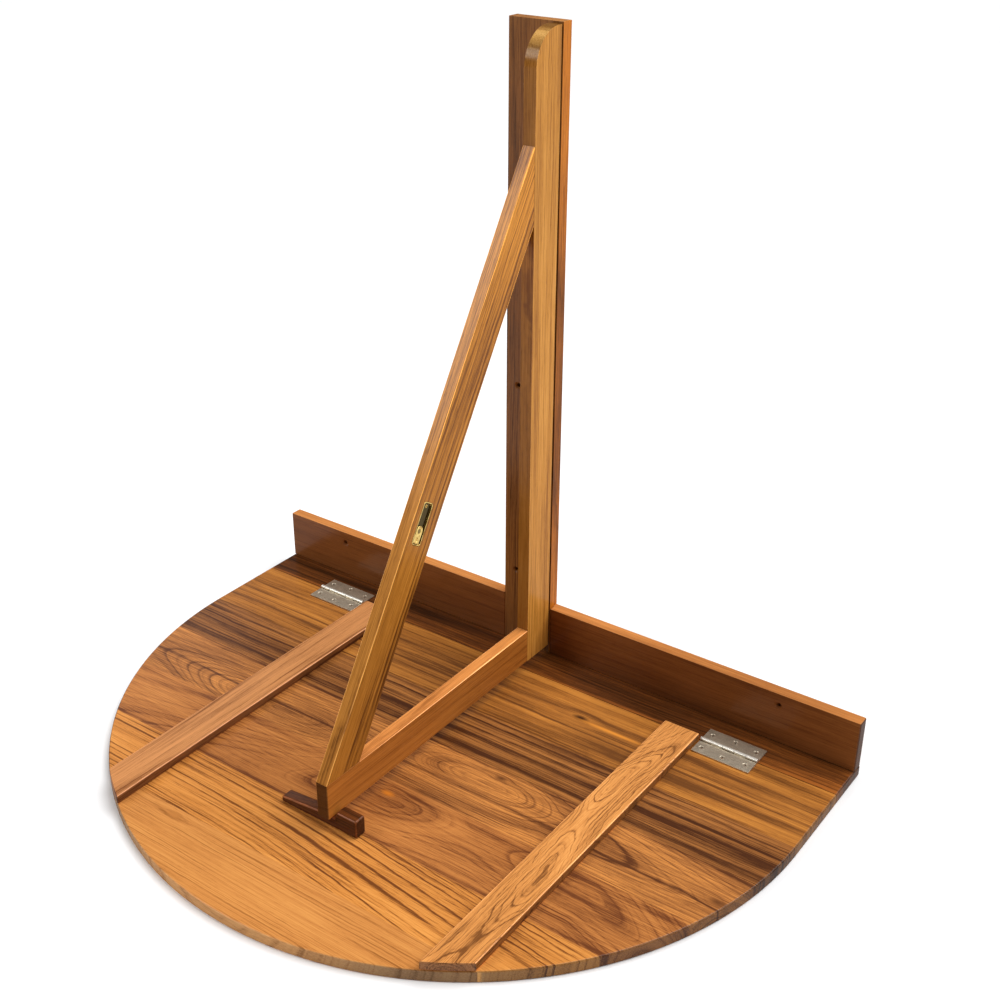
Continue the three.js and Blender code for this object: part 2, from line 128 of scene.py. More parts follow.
def prism(name, outline, across, up, along, low, high):
    """An outline of (across, up) pairs, pushed along its normal from low to high."""
    rings = []
    for reach in (low, high):
        rings.append([across * a + up * b + along * reach for a, b in outline])
    return solid(name, rings)


def block(name, low, high):
    outline = [(low.x, low.y), (high.x, low.y), (high.x, high.y), (low.x, high.y)]
    return prism(name, outline, X, Y, Z, low.z, high.z)


def turned(name, profile, place, sides=32):
    """A turned solid: profile holds (radius, height) pairs from one end to the other."""
    rings = []
    for radius, height in profile:
        rings.append([place @ Vector((a, b, height)) for a, b in circle(radius, sides)])
    return solid(name, rings)


def facing(point, outward):
    """The placement that stands local Z along outward at point."""
    return Matrix.Translation(point) @ outward.to_track_quat("Z", "Y").to_matrix().to_4x4()


def remove(objects):
    for obj in objects:
        mesh = obj.data
        bpy.data.objects.remove(obj)
        bpy.data.meshes.remove(mesh)


def settle(obj):
    """Applies the modifiers of obj."""
    graph = bpy.context.evaluated_depsgraph_get()
    settled = bpy.data.meshes.new_from_object(obj.evaluated_get(graph))
    rough = obj.data
    obj.modifiers.clear()
    obj.data = settled
    bpy.data.meshes.remove(rough)
    return obj


def combine(obj, others, operation):
    for other in others:
        modifier = obj.modifiers.new(operation.lower(), "BOOLEAN")
        modifier.operation = operation
        modifier.object = other
    settle(obj)
    remove(others)
    return obj


def soften(obj, width, segments=3, sharpest=30, joints=()):
    """Rounds the edges sharper than an angle, apart from those that lie inside a joint."""
    shape = bmesh.new()
    shape.from_mesh(obj.data)
    weight = shape.edges.layers.float.new("bevel_weight_edge")
    for edge in shape.edges:
        sharp = edge.calc_face_angle(0) > math.radians(sharpest)
        ends = [vertex.co for vertex in edge.verts]
        joined = any(all(within(end, low, high) for end in ends) for low, high in joints)
        edge[weight] = 1.0 if sharp and not joined else 0.0
    shape.to_mesh(obj.data)
    shape.free()
    bevel = obj.modifiers.new("arris", "BEVEL")
    bevel.width = width
    bevel.segments = segments
    bevel.limit_method = "WEIGHT"
    settle(obj)
    return smooth(obj)


def within(point, low, high):
    return all(low[i] <= point[i] <= high[i] for i in range(3))


def smooth(obj):
    for face in obj.data.polygons:
        face.use_smooth = True
    obj.data.set_sharp_from_angle(angle=math.radians(50))
    weighted = obj.modifiers.new("flat faces", "WEIGHTED_NORMAL")
    weighted.keep_sharp = True
    return settle(obj)


def stand_for(obj, node, material):
    """obj takes the CAD node's place: its body and its finish."""
    obj.name = f"{node}_piece"
    obj.data.name = obj.name
    obj.data.materials.clear()
    obj.data.materials.append(material)
    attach(obj, frame["nodes"][node]["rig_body"])
    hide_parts(node)
    return obj


# ---------- material building


def colour(text):
    """A linear colour from its usual six hex digits."""
    channels = [int(text[i:i + 2], 16) / 255 for i in (1, 3, 5)]
    linear = [c / 12.92 if c <= 0.04045 else ((c + 0.055) / 1.055) ** 2.4 for c in channels]
    return (*linear, 1.0)


class Tree:
    """Writes a node tree in short calls: each one adds a node and returns its output."""

    def __init__(self, name):
        self.material = bpy.data.materials.new(name)
        self.material.use_nodes = True
        self.nodes = self.material.node_tree.nodes
        self.links = self.material.node_tree.links
        self.shader = self.nodes["Principled BSDF"]

    def feed(self, socket, value):
        if isinstance(value, bpy.types.NodeSocket):
            self.links.new(value, socket)
        else:
            socket.default_value = value

    def add(self, kind, inputs, output=0, **settings):
        node = self.nodes.new(kind)
        for name, value in settings.items():
            setattr(node, name, value)
        for key, value in inputs.items():
            self.feed(node.inputs[key], value)
        return node.outputs[output]

    def set(self, **inputs):
        for name, value in inputs.items():
            self.feed(self.shader.inputs[name.replace("_", " ")], value)

    def place(self):
        return self.add("ShaderNodeTexCoord", {}, "Object")

    def math(self, operation, a, b=0.0, c=0.0):
        return self.add("ShaderNodeMath", {0: a, 1: b, 2: c}, operation=operation)

    def dot(self, vector, axis):
        return self.add("ShaderNodeVectorMath", {0: vector, 1: axis}, "Value", operation="DOT_PRODUCT")

    def scaled(self, vector, factors):
        return self.add("ShaderNodeVectorMath", {0: vector, 1: factors}, operation="MULTIPLY")

    def vector(self, x, y, z):
        return self.add("ShaderNodeCombineXYZ", {0: x, 1: y, 2: z})

    def noise(self, vector, detail=2.0, roughness=0.5):
        inputs = {"Vector": vector, "Scale": 1.0, "Detail": detail, "Roughness": roughness}
        return self.add("ShaderNodeTexNoise", inputs)

    def cloud(self, place, scale, detail, roughness=0.5):
        """Noise whose grains are as long as they are wide."""
        scaled = self.add("ShaderNodeVectorMath", {0: place, 3: scale}, operation="SCALE")
        return self.noise(scaled, detail, roughness)

    def span(self, value, low, high, to_low=0.0, to_high=1.0):
        """A smooth step from to_low to to_high as value goes from low to high."""
        inputs = {"Value": value, 1: low, 2: high, 3: to_low, 4: to_high}
        return self.add("ShaderNodeMapRange", inputs, interpolation_type="SMOOTHSTEP")

    def blend(self, amount, first, second):
        inputs = {0: amount, 6: first, 7: second}
        return self.add("ShaderNodeMix", inputs, 2, data_type="RGBA")

    def profile(self, value, points):
        """A smooth curve through given (value, height) points."""
        if len(points) == 1:
            return points[0][1]
        low, high = points[0][0], points[-1][0]
        bottom = min(height for _, height in points)
        top = max(height for _, height in points)
        share = self.math("DIVIDE", self.math("SUBTRACT", value, low), high - low)
        node = self.nodes.new("ShaderNodeValToRGB")
        node.color_ramp.interpolation = "CARDINAL"
        stops = node.color_ramp.elements
        for index, (place, height) in enumerate(points):
            position = (place - low) / (high - low)
            stop = stops[index] if index < 2 else stops.new(position)
            stop.position = position
            grey = (height - bottom) / (top - bottom)
            stop.color = (grey, grey, grey, 1.0)
        self.links.new(share, node.inputs[0])
        return self.math("ADD", self.math("MULTIPLY", node.outputs[0], top - bottom), bottom)

    def ramp(self, value, stops):
        """A colour for every value, straight from stop to stop."""
        node = self.nodes.new("ShaderNodeValToRGB")
        elements = node.color_ramp.elements
        for index, (position, text) in enumerate(stops):
            stop = elements[index] if index < 2 else elements.new(position)
            stop.position = position
            stop.color = colour(text)
        self.links.new(value, node.inputs[0])
        return node.outputs[0]

    def bump(self, height, distance):
        return self.add("ShaderNodeBump", {"Height": height, "Distance": distance, "Strength": 1.0})


# ---------- teak

# How much of a normal points along, across or between a board's axes, from where a face starts to
# take the tint of the sides, the ends or the arrises to where it has all of it. The side tints are
# painted light and shade for how a face meets the light, the arris tint is a painted highlight, and
# the end tint is partly the end grain's own tone and partly painted light and shade.
SIDE_TURN = (0.6, 0.9)
END_TURN = (0.15, 0.5)
ARRIS_TURN = (0.88, 0.985)

RIM_DEPTH = 2 * MM
RIM_BLEND = 0.5 * MM
VARNISH_COAT = 0.32
VARNISH_ROUGHNESS = 0.2
FIBRE_RELIEF = 0.06 * MM
VARNISH_RELIEF = 0.3 * MM


@dataclass
class Knot:
    """A small knot: its place along and across the board, its half width, colour and stretch."""

    along: float
    across: float
    radius: float
    tint: str = "#3a2010"
    stretch: float = 2.2


@dataclass
class Teak:
    """How one board was cut from the log, and how it took its colour.

    face is how far the show face lies along out. The growth rings are circles round the log's
    heart. heart gives how far the heart lies across the board, and depth how far under its show
    face, each at some places along the board. pitch is the rings' spacing. lines, bands and fibres
    say how strongly each of them shows, and waviness and tremble how far the grain strays. tones
    are the board's darkest, middle and lightest colours. streaks are darker stripes along the
    board, each with its place across it, its half width and its strength. side scales the colour of
    the narrow faces: painted light and shade for how they meet the light. end scales the colour of
    the end grain: partly its own tone, partly painted light and shade. The arris tint scales the
    colour of the rounded arrises: a painted highlight. The span of painted light along the board
    says between which two places along it the board is lightened, and by how much: painted light
    for brighter light on that part. limits are the board's ends and sides, for a board with holes:
    their walls keep the board's own colour.
    """

    name: str
    along: Vector
    out: Vector
    face: float
    tones: tuple
    heart: list = field(default_factory=lambda: [(0, 0.3)])
    depth: list = field(default_factory=lambda: [(0, 0.05)])
    streaks: list = field(default_factory=list)
    knots: list = field(default_factory=list)
    pitch: float = 8 * MM
    lines: float = 0.5
    bands: float = 0.4
    fibres: float = 0.3
    waviness: float = 5 * MM
    # side and end are painted light and shade for how a face meets the light; the end tint is partly the
    # end grain's own tone.
    side: tuple = (1.0, 1.0, 1.0)
    end: tuple = (0.4, 0.4, 0.4)
    # A painted highlight on the rounded arrises.
    arris_highlight: tuple = (2.0, 2.2, 2.9)
    tremble: float = 2.5 * MM
    # Painted light: lightens the board between two places along it.
    bleached: tuple = None
    limits: tuple = None
    seed: float = 0.0


def board_axes(tree, cut, source):
    """The parts of a place or a normal along, across and out of a board."""
    across = cut.out.cross(cut.along)
    return [tree.dot(source, axis) for axis in (cut.along, across, cut.out)]


def stretched(tree, cut, u, v, w, length, width, shift=0.0):
    """Coordinates for a noise whose grains are about length long and width wide."""
    return tree.vector(
        tree.math("MULTIPLY_ADD", u, 1 / length, cut.seed + shift),
        tree.math("DIVIDE", v, width),
        tree.math("DIVIDE", w, width),
    )


def near(tree, u, v, knot, reach):
    """One at a knot's middle, and nothing beyond reach times its radius."""
    du = tree.math("DIVIDE", tree.math("SUBTRACT", u, knot.along), knot.stretch)
    dv = tree.math("SUBTRACT", v, knot.across)
    squares = tree.math("ADD", tree.math("MULTIPLY", du, du), tree.math("MULTIPLY", dv, dv))
    return tree.span(tree.math("SQRT", squares), 0.0, knot.radius * reach, to_low=1.0, to_high=0.0)


def bent_round_knots(tree, cut, u, v):
    """The across coordinate, with the grain pushed apart round every knot."""
    for knot in cut.knots:
        aside = tree.math("SUBTRACT", v, knot.across)
        v = tree.math("SUBTRACT", v, tree.math("MULTIPLY", aside, near(tree, u, v, knot, reach=5.0)))
    return v


def wandering(tree, cut, u, v):
    """The across coordinate with the slow sway and the short tremble of real grain."""
    sway = tree.noise(stretched(tree, cut, u, v, 0.0, length=0.2, width=0.07))
    tremble = tree.noise(stretched(tree, cut, u, v, 0.0, length=0.028, width=0.012, shift=4.2))
    v = tree.math("ADD", v, tree.math("MULTIPLY", tree.math("SUBTRACT", sway, 0.5), 2 * cut.waviness))
    return tree.math("ADD", v, tree.math("MULTIPLY", tree.math("SUBTRACT", tremble, 0.5), cut.tremble))


def ring_distance(tree, cut, u, v, w):
    """How far a point lies from the log's heart."""
    lateral = tree.math("SUBTRACT", v, tree.profile(u, cut.heart))
    deep = tree.math("ADD", tree.math("SUBTRACT", tree.profile(u, cut.depth), cut.face), w)
    squares = tree.math("ADD", tree.math("MULTIPLY", lateral, lateral), tree.math("MULTIPLY", deep, deep))
    return tree.math("SQRT", squares)


def ring_noise(tree, cut, u, radius, length, width, shift, detail=1.0):
    """Noise that follows the rings."""
    place = tree.vector(
        tree.math("DIVIDE", u, length),
        tree.math("DIVIDE", radius, width),
        cut.seed + shift,
    )
    return tree.noise(place, detail)


def ring_lines(tree, cut, u, radius, pitch):
    """Thin dark lines, sharp on one side and fading on the other, each with its own strength."""
    uneven = ring_noise(tree, cut, u, radius, length=0.9, width=5 * pitch, shift=5.0)
    turns = tree.math("MULTIPLY_ADD", uneven, 4.0, tree.math("DIVIDE", radius, pitch))
    ring = tree.math("FLOOR", turns)
    phase = tree.math("FRACT", turns)
    rise = tree.span(phase, 0.0, 0.12)
    fall = tree.span(phase, 0.12, 0.42, to_low=1.0, to_high=0.0)
    along = tree.math("MULTIPLY", u, 4.0)
    strength = tree.noise(tree.vector(along, tree.math("MULTIPLY", ring, 3.7), cut.seed))
    return tree.math("MULTIPLY", tree.math("MULTIPLY", rise, fall), tree.span(strength, 0.3, 0.7))


def streak_shade(tree, cut, u, v):
    """How dark the named streaks are, fading in and out along the board."""
    ends = [(place + side * half, 0.0) for place, half, _ in cut.streaks for side in (-1, 1)]
    tops = [(place, strength) for place, _, strength in cut.streaks]
    shade = tree.profile(v, sorted(ends + tops))
    fade = tree.noise(stretched(tree, cut, u, v, 0.0, length=0.11, width=0.02, shift=9.1))
    return tree.math("MULTIPLY", shade, tree.span(fade, 0.3, 0.6, to_low=0.35, to_high=1.0))


def teak(cut):
    """Varnished teak: bands, ring lines, streaks, fibres and pores, under a clear coat."""
    tree = Tree(cut.name)
    u, v, w = board_axes(tree, cut, tree.place())
    bent = wandering(tree, cut, u, bent_round_knots(tree, cut, u, v))
    radius = ring_distance(tree, cut, u, bent, w)

    zones = ring_noise(tree, cut, u, radius, length=0.3, width=5 * cut.pitch, shift=11.3)
    bands = ring_noise(tree, cut, u, radius, length=0.35, width=1.6 * cut.pitch, shift=3.1, detail=3.0)
    fibres = tree.noise(stretched(tree, cut, u, v, w, length=0.07, width=1.1 * MM), 4.0, 0.65)
    pores = tree.noise(stretched(tree, cut, u, v, w, length=0.011, width=0.7 * MM, shift=6.0), 1.0)
    pores = tree.span(pores, 0.58, 0.72)
    shades = (
        (tree.span(bands, 0.42, 0.75), cut.bands),
        (ring_lines(tree, cut, u, radius, cut.pitch), cut.lines),
        (ring_lines(tree, cut, u, radius, 0.37 * cut.pitch), 0.4 * cut.lines),
        (pores, 0.22),
    )

    middle_tone = 0.66
    tone = tree.span(fibres, 0.25, 0.75, to_low=middle_tone - cut.fibres, to_high=middle_tone + cut.fibres)
    tone = tree.math("ADD", tone, tree.span(zones, 0.25, 0.75, to_low=-0.2, to_high=0.2))
    for shade, strength in shades:
        tone = tree.math("SUBTRACT", tone, tree.math("MULTIPLY", shade, strength))
    if cut.streaks:
        tone = tree.math("SUBTRACT", tone, streak_shade(tree, cut, u, bent))

    dark, middle, light = cut.tones
    ground = tree.ramp(tone, ((0.0, dark), (0.5, middle), (1.0, light)))
    for knot in cut.knots:
        spot = tree.math("POWER", near(tree, u, v, knot, reach=1.6), 0.7)
        ground = tree.blend(spot, ground, colour(knot.tint))

    # Painted light: the board lightened between two places along it, for brighter light on that part.
    if cut.bleached:
        start, end, tint = cut.bleached
        ground = tree.blend(tree.span(u, start, end), ground, tree.scaled(ground, tint))
    # Painted light and shade on the narrow faces and the end grain, and a painted highlight on the
    # arrises.
    ground = painted_light_by_face(tree, cut, ground, u, v)
    polish = tree.noise(stretched(tree, cut, u, v, w, length=0.1, width=0.03), 3.0)
    relief = tree.math("SUBTRACT", tree.math("MULTIPLY", fibres, 0.4), pores)
    tree.set(Base_Color=ground, Roughness=tree.span(polish, 0.2, 0.8, to_low=0.38, to_high=0.55))
    tree.set(Specular_IOR_Level=0.0, Coat_Weight=VARNISH_COAT, Coat_Roughness=VARNISH_ROUGHNESS)
    tree.set(Normal=tree.bump(relief, FIBRE_RELIEF), Coat_Normal=tree.bump(polish, VARNISH_RELIEF))
    return tree.material


def outer_rim(tree, cut, u, v):
    """One on the faces that bound the board, and nothing inside its holes."""
    if cut.limits is None:
        return 1.0
    (low_u, low_v), (high_u, high_v) = cut.limits
    gaps = []
    for place, low, high in ((u, low_u, high_u), (v, low_v, high_v)):
        gaps.append(tree.math("SUBTRACT", place, low))
        gaps.append(tree.math("SUBTRACT", high, place))
    nearest = gaps[0]
    for gap in gaps[1:]:
        nearest = tree.math("MINIMUM", nearest, gap)
    return tree.span(nearest, RIM_DEPTH, RIM_DEPTH + RIM_BLEND, to_low=1.0, to_high=0.0)


def painted_light_by_face(tree, cut, ground, u, v):
    """Painted light and shade by face direction, and a painted highlight on the rounded arrises; the end
    grain's tint is partly its own tone.
    """
    normal = tree.add("ShaderNodeTexCoord", {}, "Normal")
    ends, sides, faces = [tree.math("ABSOLUTE", part) for part in board_axes(tree, cut, normal)]
    largest = tree.math("MAXIMUM", tree.math("MAXIMUM", ends, sides), faces)
    rim = outer_rim(tree, cut, u, v)
    amounts = (
        (tree.span(sides, *SIDE_TURN), cut.side),
        (tree.span(ends, *END_TURN), cut.end),
        # painted highlight on the rounded arrises
        (tree.span(largest, *ARRIS_TURN, to_low=1.0, to_high=0.0), cut.arris_highlight),
    )
    for amount, tint in amounts:
        ground = tree.blend(tree.math("MULTIPLY", amount, rim), ground, tree.scaled(ground, tint))
    return ground


def board_limits(node, along, out):
    """The ends and sides of a board that lies square in the frame."""
    across = out.cross(along)
    corners = [(corner.dot(along), corner.dot(across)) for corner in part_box(node)]
    return tuple(tuple(pick(pair) for pair in zip(*corners)) for pick in (min, max))


def leaf_board(name, **choices):
    """Teak for a board of the table's top: its grain runs along the wall."""
    # Painted light on the top's boards: the edges lightened and blued as a painted reflection of the pale
    # floor, the end grain darkened (partly its own tone, partly painted shade), and a painted highlight on
    # the arrises.
    tints = {"side": (0.95, 1.15, 1.6), "end": (0.42, 0.46, 0.54), "arris_highlight": (1.15, 1.2, 1.35)}
    return Teak(name, along=X, out=Z, face=TOP_FACE, **tints, **choices)


LEAF_CUTS = {
    "fixed_strip": leaf_board(
        "teak_strip", tones=("#3f220e", "#683a1a", "#a05c26"),
        heart=[(0, 0.10)], depth=[(0, 0.03)], pitch=9 * MM, bands=0.4, lines=0.4,
        streaks=[(0.2435, 0.004, -0.45), (0.276, 0.008, 0.25)], seed=1.0,
    ),
    "leaf_plank_1": leaf_board(
        "teak_plank_1", tones=("#6a3f1c", "#a3662c", "#c58138"),
        heart=[(0, 0.44)], depth=[(0, 0.06)], pitch=8 * MM, bands=0.5, lines=0.4, waviness=4 * MM,
        streaks=[(0.1325, 0.002, 0.7), (0.157, 0.006, 0.3), (0.1705, 0.002, 0.9), (0.183, 0.005, 0.25),
                 (0.203, 0.006, 0.3), (0.235, 0.008, -0.35)],
        knots=[Knot(0.126, 0.1935, 0.004), Knot(0.172, 0.1905, 0.0025, "#dd8c35", 16)], seed=2.3,
    ),
    "leaf_plank_2": leaf_board(
        "teak_plank_2", tones=("#4a2814", "#8a562b", "#b5753a"),
        heart=[(0, 0.30)], depth=[(0, 0.05)], pitch=5 * MM, bands=0.4, lines=0.6, waviness=4 * MM,
        streaks=[(0.0635, 0.006, 0.6), (0.0855, 0.007, 0.55), (0.1015, 0.003, 0.8), (0.1165, 0.003, 0.8)],
        seed=5.2,
    ),
    "leaf_plank_3": leaf_board(
        "teak_plank_3", tones=("#5a321a", "#9d6232", "#d68c46"),
        heart=[(-0.45, 0.0), (-0.2, -0.01), (0.1, 0.022), (0.45, -0.01)],
        depth=[(-0.45, 0.05), (-0.33, 0.034), (-0.18, 0.012), (-0.03, 0.03), (0.107, 0.004),
               (0.2, 0.03), (0.45, 0.05)],
        streaks=[(-0.001, 0.003, 0.6), (0.050, 0.003, 0.6)],
        knots=[Knot(0.114, 0.0395, 0.003, "#6a3f20"), Knot(0.415, 0.0055, 0.004, "#6a3f20")],
        pitch=4.5 * MM, bands=0.25, lines=0.5, fibres=0.34, waviness=6 * MM, seed=9.7,
    ),
    "leaf_plank_4": leaf_board(
        "teak_plank_4", tones=("#6a3a1e", "#ac6b36", "#c98444"),
        heart=[(-0.45, -0.16), (-0.1, -0.10), (0.1, -0.06), (0.3, -0.06), (0.45, -0.12)],
        depth=[(-0.45, 0.05), (-0.1, 0.03), (0.03, 0.008), (0.15, 0.035), (0.3, 0.010), (0.45, 0.04)],
        knots=[Knot(0.024, -0.0585, 0.0035, "#d07a28")],
        streaks=[(-0.127, 0.004, 0.6), (-0.046, 0.006, 0.3)],
        pitch=5.5 * MM, bands=0.3, lines=0.35, fibres=0.34, waviness=6 * MM, seed=12.4,
    ),
    "leaf_plank_5": leaf_board(
        "teak_plank_5", tones=("#6f3e1c", "#c57e3a", "#e0984c"),
        heart=[(-0.45, 0.11), (0.0, 0.10), (0.45, 0.045)], depth=[(0, 0.04)],
        pitch=9 * MM, bands=0.2, lines=0.9, waviness=3 * MM, seed=17.0,
    ),
    "leaf_plank_6": leaf_board(
        "teak_plank_6", tones=("#945b29", "#c37f40", "#d6934d"),
        heart=[(-0.45, 0.1)], depth=[(0, 0.05)],
        knots=[Knot(-0.147, -0.2275, 0.004, "#b9773a")],
        pitch=6 * MM, bands=0.25, lines=0.55, waviness=3 * MM, seed=21.0,
    ),
}


# ---------- the top: strip and leaf planks

RIM_ROUND = 2.2 * MM
GLUE_LINE = 0.05 * MM


def top_outline(steps=180):
    """The whole top seen from above, from the back left, round the front and on to the back right."""
    beyond = TOP_BACK + 2 * SPARE
    curve = arc(TOP_RADIUS, math.pi, 2 * math.pi, steps, (0.0, ARC_CENTRE))
    return [(-TOP_RADIUS, beyond), *curve, (TOP_RADIUS, beyond)]


def slab_of_top(front, back):
    """The part of the rounded top that lies between two lines along the wall."""
    slab = soften(prism("top", top_outline(), X, Y, Z, 0.0, TOP_FACE), RIM_ROUND, 4)
    side = TOP_RADIUS + SPARE
    window = block("window", Vector((-side, front, -SPARE)), Vector((side, back, TOP_FACE + SPARE)))
    return smooth(combine(slab, [window], "INTERSECT"))


def build_top():
    for node, cut in LEAF_CUTS.items():
        low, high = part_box(node)
        front, back = low.y, high.y
        if node not in ("fixed_strip", "leaf_plank_6"):
            front -= JOINT_GAP / 2 - GLUE_LINE
        if node not in ("fixed_strip", "leaf_plank_1"):
            back += JOINT_GAP / 2 - GLUE_LINE
        stand_for(slab_of_top(front, back), node, teak(cut))


# ---------- battens

BATTEN_ROUND = 1.6 * MM


def build_batten(node, material):
    low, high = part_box(node)
    bar = block(node, Vector((low.x, TOP_FRONT - SPARE, low.z)), high)
    curve = prism("curve", top_outline(), X, Y, Z, -SPARE, high.z + SPARE)
    combine(bar, [curve], "INTERSECT")
    stand_for(soften(bar, BATTEN_ROUND), node, material)


def build_battens():
    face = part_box("batten_left")[1].z
    # The side and end tints are painted shade: the battens' sides and ends darkened for the little light
    # they get, the end grain partly for its own tone too.
    left = Teak(
        "teak_batten_left", along=Y, out=Z, face=face, tones=("#7c4825", "#bd7f4c", "#d69258"),
        heart=[(0, 0.32)], depth=[(0, 0.05)], pitch=9 * MM, bands=0.4, lines=0.5,
        side=(0.45, 0.42, 0.4), end=(0.24, 0.22, 0.22), seed=31.0,
    )
    right = Teak(
        "teak_batten_right", along=Y, out=Z, face=face, tones=("#7a4a24", "#cf8948", "#e8a25a"),
        heart=[(-0.31, -0.235), (-0.1, -0.25), (0.1, -0.232), (0.24, -0.262)],
        depth=[(-0.31, 0.004), (-0.2, 0.016), (-0.08, 0.004), (0.02, 0.014), (0.1, 0.006), (0.24, 0.02)],
        pitch=3 * MM, bands=0.25, lines=0.55, waviness=9 * MM, tremble=9 * MM, fibres=0.36,
        side=(0.4, 0.36, 0.32), end=(0.24, 0.22, 0.22), seed=35.0,
    )
    build_batten("batten_left", teak(left))
    build_batten("batten_right", teak(right))


# ---------- stop block

STOP_ROUND = 2.6 * MM
SEAT_GAP = 0.4 * MM
SEAT_CLEAR = 2.5 * MM
TIP_HEIGHT = 8 * MM


def build_stop_block():
    """The ramp, the seat under the bracket's nose, and the stop."""
    low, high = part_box("stop_block")
    rail_low, rail_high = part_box("bracket_rail")
    seat = rail_low.z - SEAT_GAP
    seat_left = rail_low.x - MM
    seat_right = rail_high.x + SEAT_CLEAR
    outline = [
        (low.x, low.z),
        (high.x, low.z),
        (high.x, high.z),
        (seat_right + SEAT_CLEAR, high.z),
        (seat_right, seat),
        (seat_left, seat),
        (low.x, low.z + TIP_HEIGHT),
    ]
    stop = prism("stop", outline, X, Z, Y, low.y, high.y)
    # Painted light: the narrow faces and ends toned for how they meet the light, the end grain partly for
    # its own tone, and a strong painted highlight on the arrises.
    cut = Teak(
        "teak_stop_block", along=X, out=-Y, face=-low.y, tones=("#381f0e", "#522c13", "#6a3c1c"),
        heart=[(0, 0.0)], depth=[(0, 0.03)], pitch=4 * MM, side=(1.1, 1.0, 0.9), end=(0.7, 0.7, 0.7),
        arris_highlight=(3.0, 3.2, 4.0), seed=41.0,
    )
    stand_for(soften(stop, STOP_ROUND), "stop_block", teak(cut))


# ---------- wall frame: cleat and post

BOARD_ROUND = 1.5 * MM
SCREW_HOLE = 2.5 * MM
HOLE_SINK = 4.5 * MM
CLEAT_HOLE_X = 0.342
CLEAT_HOLE_Z = 0.067
POST_HOLE_X = -0.042
POST_HOLE_HEIGHTS = (0.125, 0.387, 0.649)


def wall_hole(x, z):
    """A hole for a wall screw, right through the board and sunk on the front."""
    sink = HOLE_SINK - SCREW_HOLE
    profile = [
        (SCREW_HOLE, -BOARD_DEPTH - MM),
        (SCREW_HOLE, -sink),
        (HOLE_SINK, 0.0),
        (HOLE_SINK, MM),
    ]
    return turned("hole", profile, facing(Vector((x, WALL_FACE, z)), -Y))


def build_cleat():
    low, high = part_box("wall_cleat")
    post_low, post_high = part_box("post_board")
    board = block("cleat", low, high)
    lap_low = Vector((post_low.x - JOINT_GAP / 2, low.y - MM, low.z - MM))
    lap_high = Vector((post_high.x + JOINT_GAP / 2, low.y + BOARD_DEPTH / 2, high.z + MM))
    lap = block("lap", lap_low, lap_high)
    holes = [wall_hole(side * CLEAT_HOLE_X, CLEAT_HOLE_Z) for side in (-1, 1)]
    combine(board, [lap, *holes], "DIFFERENCE")
    # Painted light: the top face lightened for the light it gets from above; the end grain darkened,
    # partly its own tone and partly painted shade; a painted highlight on the arrises.
    cut = Teak(
        "teak_cleat", along=X, out=-Y, face=-low.y, tones=("#66381a", "#7c4822", "#8d552b"),
        heart=[(0, 0.3)], depth=[(0, 0.05)], pitch=11 * MM, bands=0.35, lines=0.3, fibres=0.34,
        side=(2.5, 2.9, 3.0), end=(0.3, 0.27, 0.22), arris_highlight=(1.4, 1.5, 1.8),
        limits=board_limits("wall_cleat", X, -Y), seed=51.0,
    )
    stand_for(soften(board, BOARD_ROUND), "wall_cleat", teak(cut))


def build_post():
    low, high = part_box("post_board")
    cleat_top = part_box("wall_cleat")[1].z
    board = block("post", low, high)
    middle = low.y + BOARD_DEPTH / 2 - JOINT_GAP / 2
    lap_low = Vector((low.x - MM, middle, low.z - MM))
    lap_high = Vector((high.x + MM, high.y + MM, cleat_top + JOINT_GAP / 2))
    lap = block("lap", lap_low, lap_high)
    holes = [wall_hole(POST_HOLE_X, height) for height in POST_HOLE_HEIGHTS]
    combine(board, [lap, *holes], "DIFFERENCE")
    # Painted light: the side faces lightened and warmed for the light on the +X one, the end grain
    # lightened for the light on the top end, and a painted highlight on the arrises.
    cut = Teak(
        "teak_post", along=Z, out=-Y, face=-low.y, tones=("#4a2c14", "#744822", "#926030"),
        heart=[(0, -0.25)], depth=[(0, 0.05)], pitch=9 * MM, bands=0.4, lines=0.4, fibres=0.34,
        side=(2.3, 1.8, 0.6), end=(1.9, 2.0, 2.0), arris_highlight=(1.3, 1.3, 1.4),
        limits=board_limits("post_board", Z, -Y), seed=57.0,
    )
    stand_for(soften(board, BOARD_ROUND), "post_board", teak(cut))


# ---------- bracket

BRACKET_ROUND = 1.3 * MM
# A painted highlight on the bracket's arrises.
BRACKET_ARRIS_HIGHLIGHT = (2.6, 3.2, 5.0)
STILE_CORNER = 42 * MM
BRACE_WIDTH = 47.5 * MM


def side_prism(name, outline, node):
    """A piece of the bracket: its outline in Y and Z, as thick as its CAD node."""
    low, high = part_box(node)
    return prism(name, outline, Y, Z, X, low.x, high.x)


def brace_angle():
    low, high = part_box("bracket_diagonal")
    return math.atan2(high.z - low.z, high.y - low.y)


def brace_foot():
    """How much of the rail the brace stands on."""
    return BRACE_WIDTH / math.sin(brace_angle())


def brace_head():
    """How much of the stile the brace runs into."""
    return BRACE_WIDTH / math.cos(brace_angle())


def stile_outline(steps=24):
    low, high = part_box("bracket_stile")
    brace_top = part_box("bracket_diagonal")[1].z
    rail_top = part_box("bracket_rail")[1].z
    centre = (low.y + STILE_CORNER, high.z - STILE_CORNER)
    corner = arc(STILE_CORNER, math.pi / 2, math.pi, steps, centre)
    front = [(low.y, height) for height in (brace_top, brace_top - brace_head(), rail_top)]
    return [(low.y, low.z), (high.y, low.z), (high.y, high.z), *corner, *front]


def rail_outline():
    low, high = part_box("bracket_rail")
    foot_end = low.y + brace_foot()
    return [(low.y, low.z), (high.y, low.z), (high.y, high.z), (foot_end, high.z), (low.y, high.z)]


